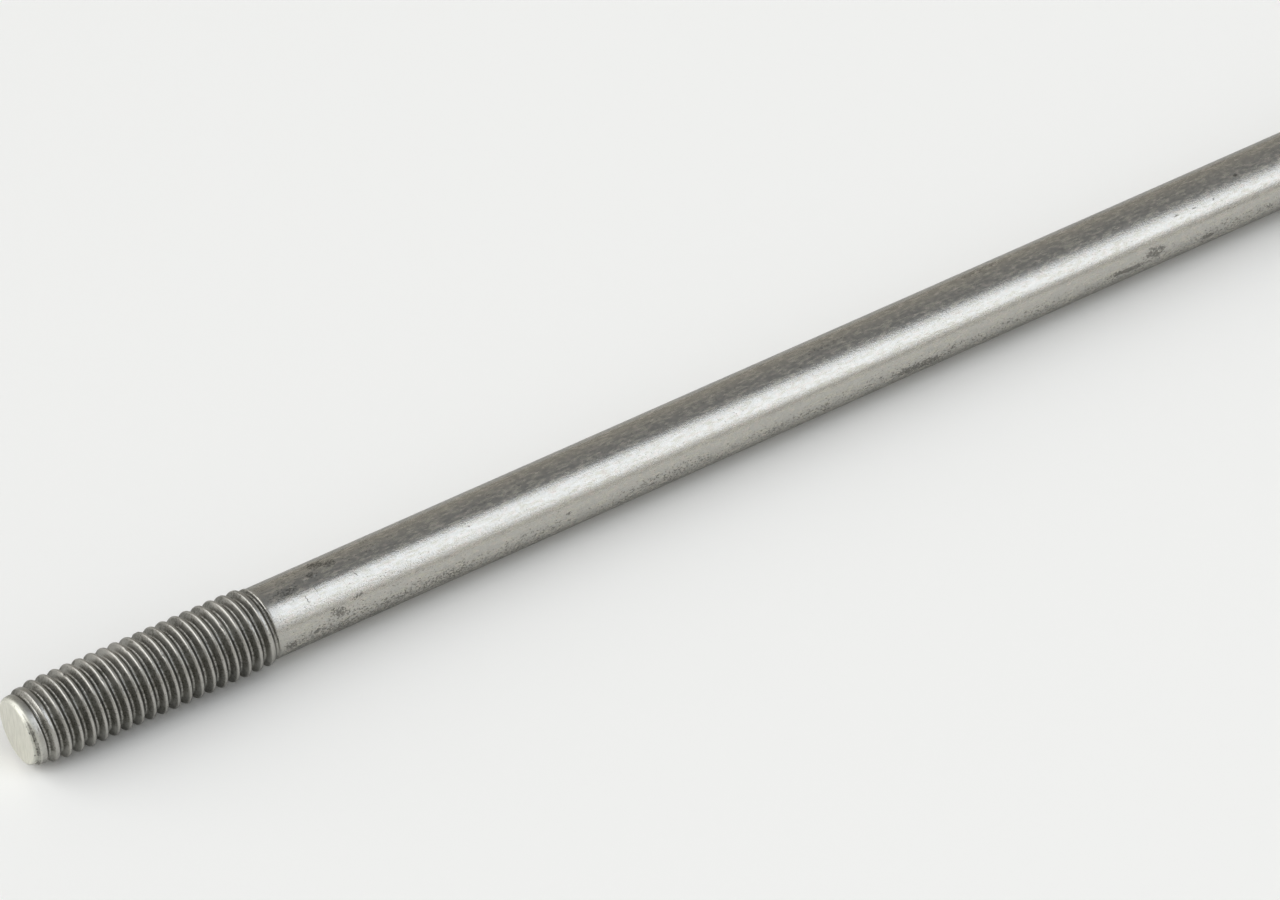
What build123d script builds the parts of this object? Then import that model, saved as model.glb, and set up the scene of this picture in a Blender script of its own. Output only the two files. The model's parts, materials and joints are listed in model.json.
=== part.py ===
from build123d import *

import os
from math import atan, cos, degrees, radians, tan

# Round steel rod with a right-hand metric thread rolled on one end, in millimetres.
# It lies along +X. The origin is the centre of the threaded end's face, and the
# plain end is cut square with its edge broken.

# Rod
rod_length = 300.0
shank_diameter = 7.08
plain_end_chamfer = 0.4

# Rolled thread: the crest and the depth follow the pitch, as on any metric thread
thread_pitch = 1.25
thread_major_diameter = 7.87
thread_flank_angle = 60.0
thread_crest_share = 0.16
thread_depth_share = 0.572
thread_length = 26.0
runout_length = 2.9

# Lead-in at the threaded end: a face just smaller than the thread's root, a broken
# edge, and a long taper on which the first crests are not yet full
end_face_inset = 0.12
end_bevel_height = 0.22
end_bevel_length = 0.14
lead_taper_length = 2.75

# The groove's cutter passes the crest by this share of the way to the point where two
# neighbouring flanks would meet, and climbs out past the shank by the overrun
cutter_reach_share = 0.6
cutter_overrun = 0.1

# Radii, and stations along the rod
shank_radius = shank_diameter / 2
major_radius = thread_major_diameter / 2
root_radius = major_radius - thread_depth_share * thread_pitch
end_face_radius = root_radius - end_face_inset
full_crest_end = thread_length - runout_length

# Section of the groove between two crests, as the cutter makes it
flank_slope = tan(radians(thread_flank_angle / 2))
crest_width = thread_crest_share * thread_pitch
cutter_reach = cutter_reach_share * crest_width / (2 * flank_slope)
cutter_radius = major_radius + cutter_reach
cutter_width = thread_pitch - crest_width + 2 * cutter_reach * flank_slope
groove_root_width = cutter_width - 2 * (cutter_radius - root_radius) * flank_slope

# The groove comes in one turn ahead of the end face, makes whole turns at full depth,
# and climbs out of the rod over its last turn or so
groove_start = -thread_pitch
groove_turns = round((thread_length - groove_start) / thread_pitch) - 1
climb_start = groove_start + groove_turns * thread_pitch
climb_length = thread_length - climb_start
climb_angle = degrees(atan((shank_radius + cutter_overrun - root_radius) / climb_length))


def groove_section(station):
    with BuildSketch(Plane.XZ) as section:
        with BuildLine():
            Polyline(
                (station - groove_root_width / 2, root_radius),
                (station + groove_root_width / 2, root_radius),
                (station + cutter_width / 2, cutter_radius),
                (station - cutter_width / 2, cutter_radius),
                close=True,
            )
        make_face()
    return section.sketch


# One turn of the groove at full depth
with BuildPart() as groove_turn:
    with BuildLine() as turn_path:
        Helix(thread_pitch, thread_pitch, root_radius, center=(groove_start, 0, 0), direction=(1, 0, 0))
    sweep(sections=groove_section(groove_start), path=turn_path.line, is_frenet=True)

# The last stretch of the groove, on a cone that rises out of the shank. A cone's helix
# counts its pitch along the slope.
with BuildPart() as groove_climb:
    with BuildLine() as climb_path:
        Helix(
            thread_pitch / cos(radians(climb_angle)),
            climb_length,
            root_radius,
            center=(climb_start, 0, 0),
            direction=(1, 0, 0),
            cone_angle=climb_angle,
        )
    sweep(sections=groove_section(climb_start), path=climb_path.line, is_frenet=True)

# The rod: a round blank from face to plain end, with the groove cut turn by turn
with BuildPart() as threaded_rod:
    with BuildSketch(Plane.XZ):
        with BuildLine():
            Polyline(
                (0, 0),
                (0, end_face_radius),
                (end_bevel_length, end_face_radius + end_bevel_height),
                (lead_taper_length, major_radius),
                (full_crest_end, major_radius),
                (thread_length, shank_radius),
                (rod_length, shank_radius),
                (rod_length, 0),
                close=True,
            )
        make_face()
    revolve(axis=Axis.X)
    plain_end = threaded_rod.faces().sort_by(Axis.X)[-1]
    chamfer(plain_end.edges(), length=plain_end_chamfer)
    for turn in range(groove_turns):
        with Locations((turn * thread_pitch, 0, 0)):
            add(groove_turn.part, mode=Mode.SUBTRACT)
    add(groove_climb.part, mode=Mode.SUBTRACT)

threaded_rod.part.label = "threaded_rod"
os.makedirs("parts", exist_ok=True)
export_step(threaded_rod.part, "parts/threaded_rod.step")
print("threaded rod", round(threaded_rod.part.volume, 2), "cubic mm, valid", threaded_rod.part.is_valid)
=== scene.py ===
import json
import random
from math import atan2, copysign, cos, hypot, pi, radians, sin, sqrt, tan

import bmesh
import bpy
from mathutils import Matrix, Vector, noise


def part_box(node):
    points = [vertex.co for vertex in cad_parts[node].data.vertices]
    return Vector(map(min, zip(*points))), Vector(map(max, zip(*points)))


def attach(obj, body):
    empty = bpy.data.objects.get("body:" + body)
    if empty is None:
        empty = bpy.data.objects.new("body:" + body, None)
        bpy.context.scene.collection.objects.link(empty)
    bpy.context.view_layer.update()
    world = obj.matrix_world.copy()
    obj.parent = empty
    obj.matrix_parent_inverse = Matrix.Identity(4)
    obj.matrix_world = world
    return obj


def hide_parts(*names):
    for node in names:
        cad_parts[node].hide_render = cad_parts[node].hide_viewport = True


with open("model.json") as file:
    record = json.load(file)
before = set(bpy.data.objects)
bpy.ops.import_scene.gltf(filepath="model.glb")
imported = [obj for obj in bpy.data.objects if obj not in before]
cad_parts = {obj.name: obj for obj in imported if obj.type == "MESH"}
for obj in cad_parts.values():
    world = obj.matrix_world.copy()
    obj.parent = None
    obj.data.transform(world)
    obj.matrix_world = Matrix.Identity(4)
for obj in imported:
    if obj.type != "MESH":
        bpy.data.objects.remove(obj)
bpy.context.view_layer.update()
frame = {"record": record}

mm = 0.001
near = 0.005 * mm                               # points this close are at the same station
mounts = {m["name"]: m for m in frame["record"]["mounts"]}
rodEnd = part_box("threaded_rod")[1].x / mm       # plain end, mm from the threaded face
crestRadius = mounts["thread"]["dims"]["r_mm"]
threadEnd = mounts["thread"]["dims"]["length_mm"]
shankRadius = mounts["shank"]["dims"]["r_mm"]
print("frame loaded, rod of", round(rodEnd, 2), "mm")


# ends edit mode and clears the selection, so the next operator starts clean
def clearSelection():
    if bpy.context.object and bpy.context.object.mode != "OBJECT":
        bpy.ops.object.mode_set(mode="OBJECT")
    bpy.ops.object.select_all(action="DESELECT")


# in edit mode, selects the verts or edges that pass a test and nothing else
def pick(kind, test):
    bpy.ops.mesh.select_all(action="DESELECT")
    bpy.ops.mesh.select_mode(type=kind)
    mesh = bmesh.from_edit_mesh(bpy.context.object.data)
    for part in {"VERT": mesh.verts, "EDGE": mesh.edges}[kind]:
        if test(part):
            part.select_set(True)
    mesh.select_flush_mode()
    bmesh.update_edit_mesh(bpy.context.object.data)


# test for the open rims of a mesh at some stations along the rod
def rimAt(*stations):
    return lambda e: e.is_boundary and any(abs(e.verts[0].co.x - x * mm) < near for x in stations)


# point on the rod, from the station, the angle from +Y towards +Z, and the radius
def onRod(x, degrees, r):
    return Vector((x, r * cos(radians(degrees)), r * sin(radians(degrees))))


# Rod: rolled thread on drawn bar, all in mm and degrees
rodShape = dict(
    pitch=1.25, flankAngle=60, crestShare=0.16, depthShare=0.572,
    crestRound=0.095, rootRound=0.10,                   # corner setback of the rolled crest and root
    roundSteps=3, flankCuts=4,                          # how finely the section is drawn
    around=120, shankRings=40, smoothAngle=42,
    mergeReach=0.0005, trimReach=0.0001,
    faceRadius=2.97, faceRings=(0.93, 0.75, 0.6),       # flat of the face, each ring a share of the last
    noseLength=1.3, noseHeight=0.60, noseSoft=0.08,     # rounded edge of the face
    noseAt=0.06, noseSteps=5,                           # where the thread's mesh ends, and rings from there
    leadStart=3.27, leadLength=2.80, leadSoft=0.18,     # the first crests grow to their full height
    # run-out: station from the thread's end, and height over the shank
    runout=[(-3.0, 0.395), (-1.75, 0.34), (-1.35, 0.32), (-1.15, 0.24),
            (-0.8, 0.10), (-0.53, 0.06), (-0.43, 0)],
    runoutLean=0.10, runoutFront=132, runoutSoft=0.09,  # it sits a little askew
    climbLength=1.15, climbRise=0.42,                   # the groove's bottom comes up at its end
    lastTurn=(24.93, 25.15), lastWall=0.62, lastWallFrom=-0.10,     # the last far wall is laid back
    cleanWall=0.84, cleanEdge=0.08,                     # where the oil and painted shade are thinned: wall and rounded edge
    crestDip=0.03, dipStretch=0.7,                      # the crest wanders a little in height
    # knocks along the crest, within these turns, and the shares by which they vary
    nicks=36, nickTurns=(3, 18.5), nickSeed=8,
    nickReach=0.33, nickReachShares=(0.6, 1.2), nickDepth=0.11, nickDepthShares=(0.4, 1),
    # chips: station, angle, reach and depth
    chips=[(20.73, 112, 0.30, 0.12), (0.16, 141, 0.26, 0.08),
           (0.26, 159, 0.24, 0.10), (0.36, 179, 0.26, 0.09)],
    cutAt=27.2, bridgeGap=0.4,                          # past the run-out, where the plain shank takes over
    plainChamfer=0.4,
)


# the smaller of two radii, with the corner between them rounded off
def softMin(a, b, k):
    blend = max(k - abs(a - b), 0) / k
    return min(a, b) - blend * blend * k / 4


# station of the groove's bottom that lies nearest to a point of the thread
def grooveAt(x, around):
    lead = rodShape["pitch"] * (around - pi / 2) / (2 * pi)
    return lead + rodShape["pitch"] * round((x - lead) / rodShape["pitch"])


# rounded edge of the face
def noseRadius(x):
    s = rodShape
    share = min(max(x / s["noseLength"], 0), 1)
    return s["faceRadius"] + s["noseHeight"] * sqrt(1 - (1 - share) ** 2)


# radius of the blank before the groove is rolled in, and how softly the two meet
def blankRadius(x, around):
    s = rodShape
    slope = (crestRadius - s["leadStart"]) / s["leadLength"]
    if x < threadEnd / 2:
        # each crest of the lead-in is level, and higher than the one before
        groove = grooveAt(x, around)
        crestAt = groove + copysign(s["pitch"] / 2, x - groove)
        land = min(s["leadStart"] + slope * crestAt, crestRadius + s["leadSoft"])
        nose = noseRadius(x) + slope * max(0, x - s["noseLength"] / 2)
        return softMin(land, nose, s["noseSoft"]), s["leadSoft"]
    lean = s["runoutLean"] * sin(around - radians(s["runoutFront"]))
    stations = [(threadEnd + dx + lean, shankRadius + dr) for dx, dr in s["runout"]]
    if x < stations[0][0]:
        early = stations[0][1] + (stations[0][0] - x) * slope
        return min(early, crestRadius + s["runoutSoft"]), s["runoutSoft"]
    for (x0, r0), (x1, r1) in zip(stations, stations[1:]):
        if x <= x1:
            return r0 + (r1 - r0) * (x - x0) / (x1 - x0), s["runoutSoft"]
    return shankRadius, s["runoutSoft"]


# 0 on the thread and 1 where the last groove has come out to the run-out
def lateShare(groove):
    start, stop = rodShape["lastTurn"]
    return min(max((groove - start) / (stop - start), 0), 1)


# pulls the selected rim along the rod and in to a share of its radius
def pullRim(along, share):
    bpy.ops.mesh.extrude_region_move(TRANSFORM_OT_translate={"value": (along * mm, 0, 0)})
    bpy.ops.transform.resize(value=(1, share, share), center_override=(0, 0, 0))


# flattens the selected rim at its station and closes it with rings that end in one point on the axis
def closeFace(station):
    bpy.ops.transform.resize(value=(0, 1, 1), center_override=(station * mm, 0, 0))
    for share in rodShape["faceRings"]:
        pullRim(0, share)
    bpy.ops.mesh.extrude_region_move(TRANSFORM_OT_translate={"value": (0, 0, 0)})
    bpy.ops.mesh.merge(type="CENTER")


def makeRod():
    s = rodShape
    pitch = s["pitch"]
    depth = s["depthShare"] * pitch
    root = crestRadius - depth
    crest = s["crestShare"] * pitch
    flank = depth * tan(radians(s["flankAngle"] / 2))
    rootHalf = (pitch - crest) / 2 - flank
    first = -pitch

    # one pitch of the section, drawn from a single point at +Z from root to root
    clearSelection()
    bpy.ops.mesh.primitive_plane_add(size=pitch * mm)
    rod = bpy.context.object
    rod.name = "steel_rod"
    bpy.ops.object.mode_set(mode="EDIT")
    bpy.ops.mesh.select_all(action="SELECT")
    bpy.ops.mesh.merge(type="CENTER")
    bpy.ops.transform.translate(value=(first * mm, 0, root * mm))
    for dx, dr in ((rootHalf, 0), (flank, depth), (crest, 0), (flank, -depth), (rootHalf, 0)):
        bpy.ops.mesh.extrude_region_move(TRANSFORM_OT_translate={"value": (dx * mm, 0, dr * mm)})
    # the rolled crest and root have no sharp corners
    middle = (root + depth / 2) * mm
    inside = lambda v: first * mm + near < v.co.x < (first + pitch) * mm - near
    pick("VERT", lambda v: inside(v) and v.co.z > middle)
    bpy.ops.mesh.bevel(offset=s["crestRound"] * mm, offset_type="OFFSET", segments=s["roundSteps"],
                       affect="VERTICES")
    pick("VERT", lambda v: inside(v) and v.co.z < middle)
    bpy.ops.mesh.bevel(offset=s["rootRound"] * mm, offset_type="OFFSET", segments=s["roundSteps"],
                       affect="VERTICES")
    pick("EDGE", lambda e: e.calc_length() > pitch / 4 * mm)        # the two flanks
    bpy.ops.mesh.subdivide(number_cuts=s["flankCuts"])
    bpy.ops.object.mode_set(mode="OBJECT")
    print("section of", len(rod.data.vertices), "points")

    # the section climbs one pitch a turn
    turns = rod.modifiers.new("turns", "SCREW")
    turns.axis = "X"
    turns.angle = 2 * pi
    turns.screw_offset = pitch * mm
    turns.iterations = int((s["cutAt"] - first) / pitch) + 1
    turns.steps = turns.render_steps = s["around"]
    turns.use_merge_vertices = False
    print("thread of", turns.iterations, "turns")
    bpy.ops.object.modifier_apply(modifier=turns.name)
    bpy.ops.object.mode_set(mode="EDIT")
    bpy.ops.mesh.select_all(action="SELECT")
    bpy.ops.mesh.remove_doubles(threshold=s["mergeReach"] * mm)
    bpy.ops.object.mode_set(mode="OBJECT")

    # chips where the bar was knocked, and smaller nicks here and there along the crest
    knocks = [(onRod(x, angle, blankRadius(x, radians(angle))[0]), reach, deep)
              for x, angle, reach, deep in s["chips"]]
    chance = random.Random(s["nickSeed"])
    for n in range(s["nicks"]):
        turned = chance.uniform(*s["nickTurns"])
        place = onRod((turned + 0.5) * pitch, 90 + turned * 360, crestRadius)
        reach = s["nickReach"] * chance.uniform(*s["nickReachShares"])
        deep = s["nickDepth"] * chance.uniform(*s["nickDepthShares"])
        knocks.append((place, reach, deep))

    # the groove climbs out at the run-out, and the blank's taper limits the crest
    climbStart = threadEnd - s["climbLength"]
    for v in rod.data.vertices:
        x, y, z = v.co / mm
        around = atan2(z, y)
        r = hypot(y, z)
        groove = grooveAt(x, around)
        rise = max(0, groove - climbStart) / s["climbLength"] * s["climbRise"]
        share = min(max((r - root) / depth, 0), 1)
        r += rise
        if x > groove + s["lastWallFrom"] and groove > s["lastTurn"][0]:
            steep = depth / flank
            slope = steep + (s["lastWall"] - steep) * lateShare(groove)
            r = min(r, root + rise + (x - groove - s["lastWallFrom"]) * slope)
        blank, soft = blankRadius(x, around)
        r = softMin(r, blank, soft)
        if x < climbStart:
            wave = 0.5 + 0.5 * noise.noise(Vector((x * s["dipStretch"], y, z)))
            r -= s["crestDip"] * wave * share ** 3
            for place, reach, deep in knocks:
                if abs(x - place.x) < reach:
                    away = (Vector((x, y, z)) - place).length / reach
                    r -= deep * max(0, 1 - away * away) ** 2
        v.co = Vector((x, r * cos(around), r * sin(around))) * mm

    # trimmed at both ends, and the last rings of the rounded edge round the sheared face
    bpy.ops.object.mode_set(mode="EDIT")
    bpy.ops.mesh.select_all(action="SELECT")
    bpy.ops.mesh.bisect(plane_co=(s["noseAt"] * mm, 0, 0), plane_no=(1, 0, 0), clear_inner=True,
                        threshold=s["trimReach"] * mm)
    bpy.ops.mesh.select_all(action="SELECT")
    bpy.ops.mesh.bisect(plane_co=(s["cutAt"] * mm, 0, 0), plane_no=(1, 0, 0), clear_outer=True,
                        threshold=s["trimReach"] * mm)
    pick("EDGE", rimAt(s["noseAt"]))
    rings = [s["noseAt"] * (1 - k / s["noseSteps"]) ** 2 for k in range(s["noseSteps"] + 1)]
    for x0, x1 in zip(rings, rings[1:]):
        pullRim(x1 - x0, noseRadius(x1) / noseRadius(x0))
    closeFace(0)
    bpy.ops.object.mode_set(mode="OBJECT")

    # plain shank, from the run-out to the plain end
    clearSelection()
    shankStart = s["cutAt"] + s["bridgeGap"]
    shankStop = rodEnd - s["plainChamfer"]
    bpy.ops.mesh.primitive_cylinder_add(
        vertices=s["around"], radius=shankRadius * mm, depth=(shankStop - shankStart) * mm,
        end_fill_type="NOTHING", location=((shankStart + shankStop) / 2 * mm, 0, 0),
        rotation=(0, pi / 2, 0))
    shank = bpy.context.object
    bpy.ops.object.transform_apply(location=True, rotation=True, scale=True)
    bpy.ops.object.mode_set(mode="EDIT")
    pick("EDGE", lambda e: e.calc_length() > shankRadius * mm)      # the lines along the shank
    bpy.ops.mesh.subdivide(number_cuts=s["shankRings"])
    pick("EDGE", rimAt(shankStop))
    pullRim(s["plainChamfer"], (shankRadius - s["plainChamfer"]) / shankRadius)
    closeFace(rodEnd)
    bpy.ops.object.mode_set(mode="OBJECT")
    shank.select_set(True)
    rod.select_set(True)
    bpy.context.view_layer.objects.active = rod
    bpy.ops.object.join()
    bpy.ops.object.mode_set(mode="EDIT")
    pick("EDGE", rimAt(s["cutAt"], shankStart))
    bpy.ops.mesh.bridge_edge_loops()
    bpy.ops.mesh.select_all(action="SELECT")
    bpy.ops.mesh.normals_make_consistent(inside=False)
    bpy.ops.object.mode_set(mode="OBJECT")
    bpy.ops.object.shade_smooth_by_angle(angle=radians(s["smoothAngle"]))

    # how far up the flank each point lies, for the oil and the painted shade on the thread
    shares = rod.data.attributes.new("crestShare", "FLOAT", "POINT")
    for v, share in zip(rod.data.vertices, shares.data):
        x, y, z = v.co / mm
        around = atan2(z, y)
        groove = grooveAt(x, around)
        top = min(blankRadius(x, around)[0], crestRadius)
        # the wall of the run-out and the rounded edge get less of the oil and painted shade
        liftedShare = s["cleanWall"] * lateShare(groove) if x > groove + s["lastWallFrom"] else 0
        liftedShare = max(liftedShare, 2 - (top - root) / s["cleanEdge"])
        onThread = s["noseAt"] < x < threadEnd and liftedShare < 1
        share.value = min(max((hypot(y, z) - root) / (top - root), liftedShare), 1) if onThread else 1
    return rod


rod = makeRod()
check = bmesh.new()
check.from_mesh(rod.data)
print("rod of", len(rod.data.polygons), "faces,", sum(len(p.vertices) - 2 for p in rod.data.polygons),
      "triangles, open edges", sum(not e.is_manifold for e in check.edges))
check.free()


# sRGB hex to linear
def linear(hexColour):
    parts = [int(hexColour[i:i + 2], 16) / 255 for i in (1, 3, 5)]
    return [p / 12.92 if p <= 0.04045 else ((p + 0.055) / 1.055) ** 2.4 for p in parts] + [1]


# one node with its settings, its values and its links
def addNode(tree, kind, settings={}, inputs={}):
    node = tree.nodes.new(kind)
    for name, value in settings.items():
        setattr(node, name, value)
    for name, value in inputs.items():
        if isinstance(value, bpy.types.NodeSocket):
            tree.links.new(value, node.inputs[name])
        else:
            node.inputs[name].default_value = value
    return node


# Cold-drawn bar: bare low-carbon steel with a satin skin. The eye gets a soft bright band broken up by a
# fine grain, faint lines along the bar, thin grey and brown films that are not all metal, specks of dirt
# that thicken towards the thread, a few stains and scratches, a worn edge round the face, and dark oil on
# the flanks of the rolled thread that is thin in places. The oil also paints shade down in the grooves,
# and the specks thicken on the underside as grime and as painted shade that darkens the bottom. The grain
# and the specks are drawn as coarse as they need to be to show.
drawnSteel = dict(
    # the oil colour also paints shade on the thread's flanks, down in the grooves
    bare="#B5B4AF", shade="#A6A49F", oxide="#BBB9AD", umber="#BFB8B1", dirt="#55534F", oil="#787771",
    worn="#D0D0C7", scratch="#CFCFCC",
    rimTint=0.52,                       # iron dips at a glancing view
    roughness=0.22, oxideRougher=0.10, oilRougher=0.12, threadRougher=0.10, wornRougher=0.20,
    oxideDull=0.17, umberDull=0.17,     # share of the films that is not metal
    filmShares=(0.9, 0.2),              # how much of the films lies on the skin, and on the thread
    # stations in mm: the skin's end, where the dirt thins out, and the worn edge of the face
    skinEnd=(27, 25), dirtThins=(30, 60), wornEdge=(1.0, 0.3),
    # how much more dirt near the thread and in the stains, and more specks in the grooves and on the
    # underside, which there also paint shade
    threadDirt=0.06, grooveDirt=0.11, stainDirt=0.24, sideDirt=0.15,
    dirtySide=196, dirtySideHalf=34,    # the underside that the specks darken, in degrees
    speckEdge=0.17, speckDark=0.72,     # how soft a speck is, and how dark
    oilTop=(1.0, 0.74), oilRoot=(0.02, 0.12),   # shares of the flank over which the oil and painted shade fade
    # size in mm along the bar and across it, detail, and height of relief in mm
    patterns=dict(
        lines=(45, 0.30, 3, 0.005),
        oxide=(0.9, 0.28, 5, 0),
        umber=(0.6, 0.22, 4, 0),
        blotch=(0.5, 0.34, 4, 0.004),
        grain=(0.15, 0.13, 2, 0.010),
        specks=(0.20, 0.15, 2, -0.006),
        dirtAreas=(8, 3, 3, 0),
    ),
    patternRoughness=0.55,
    # pattern, the levels of it where a mask starts and ends, and the mask's values there
    masks=dict(
        burnish=("umber", 0.42, 0.58, 0.35, 1),         # oil and painted shade left on the burnished root
        smear=("blotch", 0.36, 0.62, 1, 0.6),           # oil and painted shade left between smears on the flanks
        thinOil=("dirtAreas", 0.38, 0.50, 0.45, 1),     # oil and painted shade left from place to place
        clear=("dirtAreas", 0.35, 0.70, 0.68, 0.585),   # level that a speck has to pass
        mottle=("blotch", 0.38, 0.64, 0, 1),            # darker patches of the skin
    ),
    films=dict(oxide=(0.45, 0.66), umber=(0.50, 0.68)),     # levels where a film starts and is full
    # station, angle, half length along, half width around, lean, and how strong
    stains=[
        (32.0, 76, 1.2, 0.9, 0, 0.8), (33.2, 86, 1.0, 0.6, 0, 0.9), (31.0, 94, 0.9, 0.5, 0, 0.7),
        (28.0, 104, 1.9, 0.6, 0, 0.6), (31.8, 164, 1.5, 0.6, -20, 0.75), (29.5, 182, 0.5, 0.35, 0, 0.9),
        (34.0, 154, 0.9, 0.25, 8, 0.8), (26.8, 188, 0.8, 0.6, 0, 0.7), (107, 72, 4.0, 0.6, 0, 0.6),
        (88, 90, 4.5, 0.5, 0, 0.5), (76, 96, 3.5, 0.5, 0, 0.5), (97, 190, 3.5, 0.7, 0, 0.6),
        (121, 62, 3.0, 0.7, 0, 0.6), (125.3, 171, 1.7, 0.9, 0, 1.0), (121.8, 184, 3.2, 0.4, -3, 1.0),
        (131.7, 188, 1.2, 0.5, 0, 0.8), (135.9, 69.5, 1.2, 0.3, 0, 0.7), (57, 172, 0.5, 0.25, 0, 0.8),
    ],
    pits=[
        (32.4, 161, 0.25, 0.16, 0, 0.8), (31.7, 167, 0.2, 0.14, 0, 0.7), (29.5, 182, 0.26, 0.18, 0, 0.7),
        (34.5, 153, 0.3, 0.10, 8, 0.7), (128.6, 131, 0.35, 0.12, 0, 0.7), (130.7, 131, 0.38, 0.13, 0, 0.8),
        (133.1, 130.5, 0.22, 0.14, 0, 0.7), (136.6, 109, 0.3, 0.22, 0, 0.8),
        (46.9, 125, 0.14, 0.12, 0, 0.8), (34.75, 121, 0.08, 0.34, 25, 1), (29.4, 127, 0.07, 0.55, 8, 0.8),
        (30.6, 118, 0.06, 0.5, 0, 0.6), (0.10, 143, 0.12, 0.20, 0, 0.9), (0.27, 157, 0.16, 0.12, 0, 0.9),
        (0.36, 173, 0.16, 0.15, 0, 0.9), (0.15, 186, 0.13, 0.14, 0, 0.8), (0.46, 142, 0.10, 0.10, 0, 0.8),
    ],
    scratches=[
        (30.1, 98, 0.26, 0.06, 35, 1), (31.3, 97.5, 0.3, 0.06, 40, 1), (37.8, 92, 0.35, 0.07, 20, 0.8),
    ],
    spotDepth=1, spotFade=0.6, ragged=0.45,     # mm into the bar, share that fades, mm the edges wander
)


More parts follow.
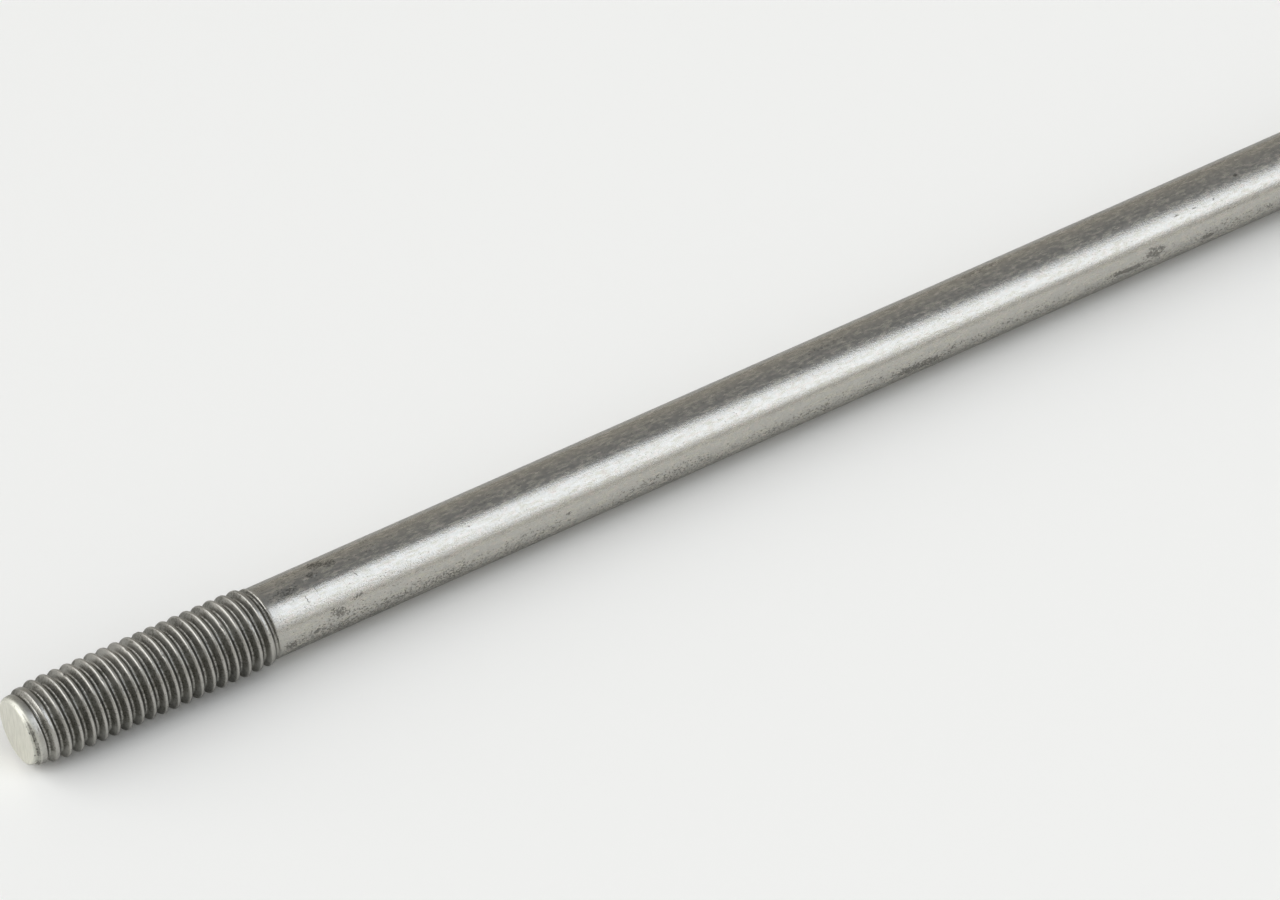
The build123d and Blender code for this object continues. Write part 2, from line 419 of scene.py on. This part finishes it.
def makeSteel():
    m = drawnSteel
    material = bpy.data.materials.new("cold_drawn_steel")
    material.use_nodes = True
    tree = material.node_tree
    shader = tree.nodes["Principled BSDF"]
    place = addNode(tree, "ShaderNodeTexCoord").outputs["Object"]
    station = addNode(tree, "ShaderNodeSeparateXYZ", {}, {"Vector": place}).outputs["X"]

    # a pattern's size in mm becomes its scale
    cloud = {}
    relief = 0.0
    for name, (along, across, detail, height) in m["patterns"].items():
        scale = (1 / (along * mm), 1 / (across * mm), 1 / (across * mm))
        spot = addNode(tree, "ShaderNodeMapping", {}, {"Vector": place, "Scale": scale})
        cloud[name] = addNode(tree, "ShaderNodeTexNoise", {}, {
            "Vector": spot.outputs["Vector"], "Scale": 1, "Detail": detail,
            "Roughness": m["patternRoughness"]}).outputs
        if height:
            relief = addNode(tree, "ShaderNodeMath", {"operation": "MULTIPLY_ADD"}, {
                0: cloud[name]["Fac"], 1: height, 2: relief}).outputs["Value"]
    mask = {}
    for name, (pattern, start, end, before, after) in m["masks"].items():
        mask[name] = addNode(tree, "ShaderNodeMapRange", {}, {
            "Value": cloud[pattern]["Fac"], "From Min": start, "From Max": end,
            "To Min": before, "To Max": after}).outputs["Result"]

    # stains, pits and scratches, each a soft spot laid on the bar, with ragged edges
    wander = addNode(tree, "ShaderNodeVectorMath", {"operation": "MULTIPLY_ADD"}, {
        0: cloud["blotch"]["Color"], 1: [m["ragged"] * mm] * 3, 2: place})
    spots = {}
    for kind in ("stains", "pits", "scratches"):
        spots[kind] = 0.0
        for x, angle, along, across, lean, strength in m[kind]:
            turn = Matrix.Rotation(radians(angle - 90), 3, "X") @ Matrix.Rotation(radians(lean), 3, "Z")
            centre = (onRod(x, angle, shankRadius) + Vector([m["ragged"] / 2] * 3)) * mm
            laid = addNode(tree, "ShaderNodeMapping", {"vector_type": "TEXTURE"}, {
                "Vector": wander.outputs["Vector"], "Location": centre, "Rotation": turn.to_euler(),
                "Scale": (along * mm, across * mm, m["spotDepth"] * mm)})
            ball = addNode(tree, "ShaderNodeTexGradient", {"gradient_type": "SPHERICAL"}, {
                "Vector": laid.outputs["Vector"]})
            edge = addNode(tree, "ShaderNodeMapRange", {"interpolation_type": "SMOOTHSTEP"}, {
                "Value": ball.outputs["Fac"], "From Max": m["spotFade"], "To Max": strength})
            spots[kind] = addNode(tree, "ShaderNodeMath", {"operation": "MAXIMUM"}, {
                0: edge.outputs["Result"], 1: spots[kind]}).outputs["Value"]

    # oil and painted shade on the flanks, dark down in the grooves: none on the crest and the shank, less
    # again on the burnished root
    share = addNode(tree, "ShaderNodeAttribute", {"attribute_name": "crestShare"}).outputs["Fac"]
    oil = addNode(tree, "ShaderNodeMapRange", {"interpolation_type": "SMOOTHSTEP"}, {
        "Value": share, "From Min": m["oilTop"][0], "From Max": m["oilTop"][1]}).outputs["Result"]
    above = addNode(tree, "ShaderNodeMapRange", {"interpolation_type": "SMOOTHSTEP"}, {
        "Value": share, "From Min": m["oilRoot"][0], "From Max": m["oilRoot"][1],
        "To Min": mask["burnish"]}).outputs["Result"]
    for amount in (above, mask["smear"], mask["thinOil"]):
        oil = addNode(tree, "ShaderNodeMath", {"operation": "MULTIPLY"}, {
            0: oil, 1: amount}).outputs["Value"]

    # specks are thicker near the thread and in the stains, and thicker again in the grooves and on the
    # underside as painted shade as well as dirt
    rolled = addNode(tree, "ShaderNodeMapRange", {}, {
        "Value": station, "From Min": m["skinEnd"][0] * mm,
        "From Max": m["skinEnd"][1] * mm}).outputs["Result"]
    byThread = addNode(tree, "ShaderNodeMapRange", {}, {
        "Value": station, "From Min": m["dirtThins"][0] * mm, "From Max": m["dirtThins"][1] * mm,
        "To Min": 1, "To Max": 0}).outputs["Result"]
    onSkin = addNode(tree, "ShaderNodeMapRange", {}, {"Value": rolled, "To Min": 1, "To Max": 0})
    # more specks towards the underside: grime streaks, and painted shade that darkens the bottom
    towardsUnderside = addNode(tree, "ShaderNodeVectorMath", {"operation": "DOT_PRODUCT"}, {
        0: place, 1: onRod(0, m["dirtySide"], 1)})
    onUnderside = addNode(tree, "ShaderNodeMapRange", {}, {
        "Value": towardsUnderside.outputs["Value"], "From Max": shankRadius * mm,
        "From Min": shankRadius * mm * cos(radians(m["dirtySideHalf"])),
        "To Max": onSkin.outputs["Result"]}).outputs["Result"]
    level = mask["clear"]
    for amount, more in ((byThread, "threadDirt"), (spots["stains"], "stainDirt"),
                         (oil, "grooveDirt"), (onUnderside, "sideDirt")):
        level = addNode(tree, "ShaderNodeMath", {"operation": "MULTIPLY_ADD"}, {
            0: amount, 1: -m[more], 2: level}).outputs["Value"]
    over = addNode(tree, "ShaderNodeMath", {"operation": "SUBTRACT"}, {0: cloud["specks"]["Fac"], 1: level})
    specks = addNode(tree, "ShaderNodeMapRange", {"interpolation_type": "SMOOTHSTEP"}, {
        "Value": over.outputs["Value"], "From Max": m["speckEdge"], "To Max": m["speckDark"]})
    dirt = addNode(tree, "ShaderNodeMath", {"operation": "MAXIMUM"}, {
        0: specks.outputs["Result"], 1: spots["pits"]}).outputs["Value"]

    # the films of the drawn skin are mostly rolled off the thread, and the face's edge is worn pale
    left = addNode(tree, "ShaderNodeMapRange", {}, {
        "Value": rolled, "To Min": m["filmShares"][0], "To Max": m["filmShares"][1]}).outputs["Result"]
    film = {}
    for name, (start, full) in m["films"].items():
        film[name] = addNode(tree, "ShaderNodeMapRange", {}, {
            "Value": cloud[name]["Fac"], "From Min": start, "From Max": full,
            "To Max": left}).outputs["Result"]
    worn = addNode(tree, "ShaderNodeMapRange", {"interpolation_type": "SMOOTHSTEP"}, {
        "Value": station, "From Min": m["wornEdge"][0] * mm,
        "From Max": m["wornEdge"][1] * mm}).outputs["Result"]
    mottle = addNode(tree, "ShaderNodeMath", {"operation": "MULTIPLY"}, {
        0: mask["mottle"], 1: cloud["grain"]["Fac"]}).outputs["Value"]

    # the oil and dirt tints also paint shade down the thread's grooves and on the underside
    colour = linear(m["bare"])
    for amount, tint in ((mottle, "shade"), (film["oxide"], "oxide"), (film["umber"], "umber"),
                         (worn, "worn"), (oil, "oil"), (dirt, "dirt"), (spots["scratches"], "scratch")):
        colour = addNode(tree, "ShaderNodeMix", {"data_type": "RGBA"}, {
            "Factor": amount, 6: colour, 7: linear(m[tint])}).outputs[2]
    tree.links.new(colour, shader.inputs["Base Color"])
    rough = m["roughness"]
    for amount, more in ((film["oxide"], "oxideRougher"), (oil, "oilRougher"),
                         (rolled, "threadRougher"), (worn, "wornRougher")):
        rough = addNode(tree, "ShaderNodeMath", {"operation": "MULTIPLY_ADD"}, {
            0: amount, 1: m[more], 2: rough}).outputs["Value"]
    tree.links.new(rough, shader.inputs["Roughness"])
    metal = 1.0
    for amount, less in ((film["oxide"], "oxideDull"), (film["umber"], "umberDull")):
        metal = addNode(tree, "ShaderNodeMath", {"operation": "MULTIPLY_ADD"}, {
            0: amount, 1: -m[less], 2: metal}).outputs["Value"]
    tree.links.new(metal, shader.inputs["Metallic"])
    bump = addNode(tree, "ShaderNodeBump", {}, {"Height": relief, "Distance": mm, "Strength": 1})
    tree.links.new(bump.outputs["Normal"], shader.inputs["Normal"])
    shader.inputs["Specular Tint"].default_value = [m["rimTint"]] * 3 + [1]
    return material


# Ends: sheared and lightly faced, so a paler, duller and slightly green-grey skin with faint tears
shearedSteel = dict(
    pale="#DEDDD3", dull="#D0CFC5", roughness=0.46, dullRougher=0.06,
    tearWidth=0.25, tearLength=1.4, tearHeight=0.004,       # mm
    tearDetail=4, dullFrom=0.35, dullFull=0.7,      # levels of the tears where it gets dull
    faceTurn=0.9, faceReach=3.2,        # it is where the surface faces along the bar, this near the axis
)


def makeShearedSteel():
    m = shearedSteel
    material = bpy.data.materials.new("sheared_steel")
    material.use_nodes = True
    tree = material.node_tree
    shader = tree.nodes["Principled BSDF"]
    place = addNode(tree, "ShaderNodeTexCoord").outputs["Object"]
    scale = (1 / (m["tearWidth"] * mm), 1 / (m["tearWidth"] * mm), 1 / (m["tearLength"] * mm))
    spot = addNode(tree, "ShaderNodeMapping", {}, {"Vector": place, "Scale": scale})
    tear = addNode(tree, "ShaderNodeTexNoise", {}, {
        "Vector": spot.outputs["Vector"], "Scale": 1, "Detail": m["tearDetail"]})
    amount = addNode(tree, "ShaderNodeMapRange", {}, {
        "Value": tear.outputs["Fac"], "From Min": m["dullFrom"], "From Max": m["dullFull"]})
    colour = addNode(tree, "ShaderNodeMix", {"data_type": "RGBA"}, {
        "Factor": amount.outputs["Result"], 6: linear(m["pale"]), 7: linear(m["dull"])})
    tree.links.new(colour.outputs[2], shader.inputs["Base Color"])
    rough = addNode(tree, "ShaderNodeMath", {"operation": "MULTIPLY_ADD"}, {
        0: amount.outputs["Result"], 1: m["dullRougher"], 2: m["roughness"]})
    tree.links.new(rough.outputs["Value"], shader.inputs["Roughness"])
    bump = addNode(tree, "ShaderNodeBump", {}, {
        "Height": tear.outputs["Fac"], "Distance": m["tearHeight"] * mm, "Strength": 1})
    tree.links.new(bump.outputs["Normal"], shader.inputs["Normal"])
    shader.inputs["Metallic"].default_value = 1
    return material


rod.data.materials.clear()
rod.data.materials.append(makeSteel())
rod.data.materials.append(makeShearedSteel())
for face in rod.data.polygons:
    faced = abs(face.normal.x) > shearedSteel["faceTurn"]
    inner = hypot(face.center.y, face.center.z) < shearedSteel["faceReach"] * mm
    face.material_index = int(faced and inner)
print("materials", [m.name for m in rod.data.materials])

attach(rod, "root")
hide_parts("threaded_rod")

# Floor: matt paper, sizes in metres
paperFloor = dict(size=14, middle=0.07, colour="#F4F4F2", roughness=0.9, gloss=0.1)
clearSelection()
bpy.ops.mesh.primitive_plane_add(
    size=paperFloor["size"], location=(paperFloor["middle"], 0, -crestRadius * mm))
floor = bpy.context.object
floor.name = "floor"
bpy.ops.object.transform_apply(location=True)
paper = bpy.data.materials.new("matt_paper")
paper.use_nodes = True
sockets = paper.node_tree.nodes["Principled BSDF"].inputs
sockets["Base Color"].default_value = linear(paperFloor["colour"])
sockets["Roughness"].default_value = paperFloor["roughness"]
sockets["Specular IOR Level"].default_value = paperFloor["gloss"]
floor.data.materials.append(paper)

# Lights, in metres and degrees. Radiance is what a mirror would show, 1 is white. A sun's energy is that
# over its disc.
aim = Vector((0.0674, 0, 0))        # middle of the stretch that the camera sees
lampDistance = 3
lights = dict(
    key=dict(towards=(0.40, -0.605, 0.75), width=1.3, height=3.33, radiance=1.92, colour="#F0F6FF"),
    low=dict(towards=(0.32, -0.93, 0.227), width=1.4, height=0.55, radiance=0.7, colour="#F0F6FF"),
    back=dict(towards=(-0.75, 0.38, 0.54), spread=70, radiance=1.85, colour="#FFFFFF"),
    window=dict(towards=(-0.62, -0.14, 0.77), spread=30, radiance=2.2, colour="#FFFFFF"),
    right=dict(towards=(0.88, -0.10, 0.46), spread=40, radiance=0.4, colour="#FFFFFF"),
)
for name, light in lights.items():
    clearSelection()
    place = aim + Vector(light["towards"]).normalized() * lampDistance
    turn = (aim - place).to_track_quat("-Z", "Y").to_euler()
    kind = "SUN" if "spread" in light else "AREA"
    bpy.ops.object.light_add(type=kind, location=place, rotation=turn)
    lamp = bpy.context.object
    lamp.name = name
    lamp.data.color = linear(light["colour"])[:3]
    if kind == "SUN":
        lamp.data.angle = radians(light["spread"])
        lamp.data.energy = pi * light["radiance"] * sin(radians(light["spread"] / 2)) ** 2
    else:
        lamp.data.shape = "RECTANGLE"
        lamp.data.size = light["width"]
        lamp.data.size_y = light["height"]
        lamp.data.energy = light["radiance"] * pi * light["width"] * light["height"]

# the room is dim overhead, and paler and warmer towards the horizon
room = dict(horizon="#FFF9EC", horizonLevel=0.53, overhead="#FDFEFF", overheadLevel=0.29, overheadFrom=0.85)
world = bpy.data.worlds.new("studio")
world.use_nodes = True
tree = world.node_tree
direction = addNode(tree, "ShaderNodeTexCoord")
height = addNode(tree, "ShaderNodeSeparateXYZ", {}, {"Vector": direction.outputs["Generated"]})
climb = addNode(tree, "ShaderNodeMapRange", {}, {
    "Value": height.outputs["Z"], "From Max": room["overheadFrom"]})
sky = addNode(tree, "ShaderNodeMix", {"data_type": "RGBA"}, {
    "Factor": climb.outputs["Result"],
    6: [c * room["horizonLevel"] for c in linear(room["horizon"])],
    7: [c * room["overheadLevel"] for c in linear(room["overhead"])]})
tree.links.new(sky.outputs[2], tree.nodes["Background"].inputs["Color"])
bpy.context.scene.world = world

# Camera, in mm and degrees
cameraView = dict(
    place=(-172.512, -364.479, 399.755), azimuth=-33.336, elevation=42.450,
    lens=176.28, sensorWidth=36, nearest=10)
clearSelection()
bpy.ops.object.camera_add(
    location=[c * mm for c in cameraView["place"]],
    rotation=(radians(90 - cameraView["elevation"]), 0, radians(cameraView["azimuth"])))
camera = bpy.context.object
camera.data.lens = cameraView["lens"]
camera.data.sensor_width = cameraView["sensorWidth"]
camera.data.clip_start = cameraView["nearest"] * mm
bpy.context.scene.camera = camera
bpy.context.scene.view_settings.view_transform = "Standard"
print("lights and camera set")
